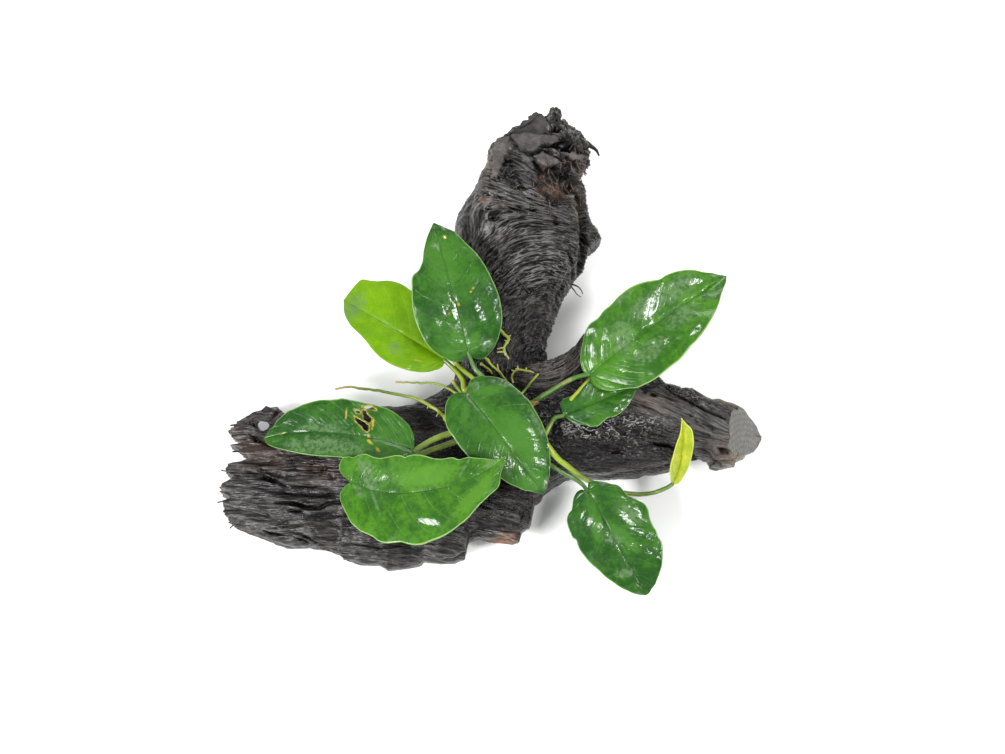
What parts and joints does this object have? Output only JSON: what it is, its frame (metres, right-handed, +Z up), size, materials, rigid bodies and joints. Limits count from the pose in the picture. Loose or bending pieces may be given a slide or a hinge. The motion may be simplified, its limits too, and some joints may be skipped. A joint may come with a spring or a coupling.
{
  "type": "anubias on driftwood",
  "caption": "Broad-leaved aquarium plant with a creeping rhizome grown on a forked piece of dark driftwood, for decorating an aquarium or paludarium.",
  "frame": {"origin": "under the middle of the whole piece's box, on the flat surface that the driftwood rests on", "axes": "+X runs from the torn end of the left limb to the sawn end of the right limb, +Y runs along the upper trunk to its rotted top, +Z is up"},
  "size_m": [0.237, 0.2155, 0.0572],
  "materials": {
    "wood_dark": "dark, water-stained, ridged grain, wet at the fork",
    "wood_grey": "dry grey-brown broken wood",
    "rhizome_green": "waxy green living stem",
    "leaf_dark": "glossy wet leaf with fine pale veins",
    "leaf_mid": "glossy wet leaf, fresh green",
    "leaf_light": "thin yellow-green leaf that light shows through",
    "leaf_young": "rolled young leaf, lime yellow",
    "stem_green": "smooth wet leaf stem",
    "root_green": "pale green aerial root with a tan tip"
  },
  "bodies": {
    "root": {"trunk_left": "wood_dark", "trunk_right": "wood_dark", "trunk_upper": "wood_dark", "broken_spur": "wood_grey", "rhizome": "rhizome_green", "leaf_top": "leaf_dark", "leaf_yellow_green": "leaf_light", "leaf_right_large": "leaf_mid", "leaf_right_small": "leaf_dark", "leaf_centre": "leaf_dark", "leaf_front": "leaf_mid", "leaf_torn": "leaf_dark", "leaf_lower": "leaf_dark", "leaf_young": "leaf_young", "stem_top": "stem_green", "stem_yellow_green": "stem_green", "stem_right_large": "stem_green", "stem_right_small": "stem_green", "stem_centre": "stem_green", "stem_front": "stem_green", "stem_torn": "stem_green", "stem_lower": "stem_green", "stem_young": "stem_green", "stem_stub_long": "stem_green", "stem_stub_short": "stem_green", "root_long": "root_green", "root_upper": "root_green", "root_kinked": "root_green", "root_bundle_long": "root_green", "root_bundle_short": "root_green", "root_forked": "root_green", "root_straight": "root_green"}
  },
  "joints": []
}
